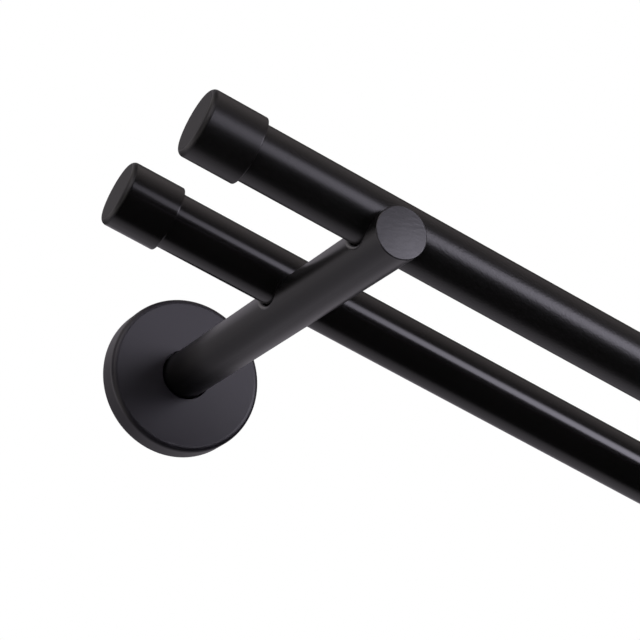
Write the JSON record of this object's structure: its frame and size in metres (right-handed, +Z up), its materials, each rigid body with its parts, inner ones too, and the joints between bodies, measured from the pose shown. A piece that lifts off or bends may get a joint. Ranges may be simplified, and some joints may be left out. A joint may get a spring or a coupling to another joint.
{
  "type": "double curtain pole",
  "caption": "Black double curtain pole: two round poles lie in saddles on round-bar wall arms, with round covers and push-on end caps.",
  "frame": {"origin": "middle of the four wall-screw holes, on the wall plane, midway between the arms and at the height of their axes", "axes": "+X along the poles towards the right-hand cap, +Y into the wall, +Z up"},
  "size_m": [1.206, 0.1905, 0.06],
  "materials": {
    "pole_tube": "satin black lacquer on thin steel tube",
    "end_cap": "satin black lacquer on turned metal",
    "bracket_arm": "matt black powder coat on solid round bar",
    "mounting_disc": "matt black coated steel disc",
    "wall_cover": "matt black powder coat on pressed steel",
    "screw": "zinc-plated steel"
  },
  "bodies": {
    "root": {"front_pole": "pole_tube", "front_left_cap": "end_cap", "front_right_cap": "end_cap", "rear_pole": "pole_tube", "rear_left_cap": "end_cap", "rear_right_cap": "end_cap", "left_bracket_arm": "bracket_arm", "left_mounting_disc": "mounting_disc", "left_cover": "wall_cover", "left_arm_screw": "screw", "right_bracket_arm": "bracket_arm", "right_mounting_disc": "mounting_disc", "right_cover": "wall_cover", "right_arm_screw": "screw"}
  },
  "joints": []
}
